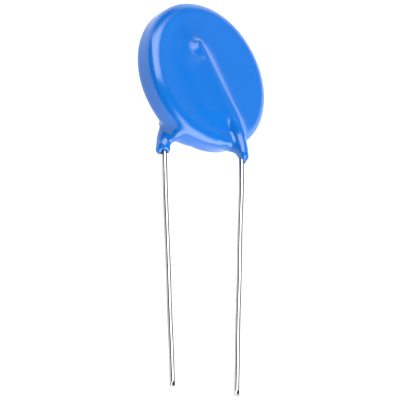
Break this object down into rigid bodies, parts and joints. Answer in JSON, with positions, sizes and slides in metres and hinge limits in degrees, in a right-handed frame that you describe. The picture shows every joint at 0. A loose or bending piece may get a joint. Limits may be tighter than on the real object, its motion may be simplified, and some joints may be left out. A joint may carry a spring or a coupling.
{
  "type": "varistor",
  "caption": "Disc varistor, dip-coated in glossy blue epoxy, with long straight tinned radial leads; clamps voltage surges on a circuit board.",
  "frame": {"origin": "on the surface the part lies on, under the middle of its overall box", "axes": "+X across the disc from the back lead to the front lead, +Y from the lead tips to the head of the disc, +Z out of the front face; the part lies on its back face"},
  "size_m": [0.022, 0.0602, 0.0063],
  "materials": {
    "blue_epoxy": "glossy dipped epoxy, slightly uneven",
    "zinc_oxide": "matt sintered ceramic, dark grey",
    "silver": "fired silver paste, matt",
    "solder": "bright tin solder",
    "tinned_wire": "bright tinned copper, faint drawing marks"
  },
  "bodies": {
    "root": {"coating": "blue_epoxy", "ceramic_disc": "zinc_oxide", "front_electrode": "silver", "back_electrode": "silver", "front_solder": "solder", "back_solder": "solder", "front_lead": "tinned_wire", "back_lead": "tinned_wire"}
  },
  "joints": []
}
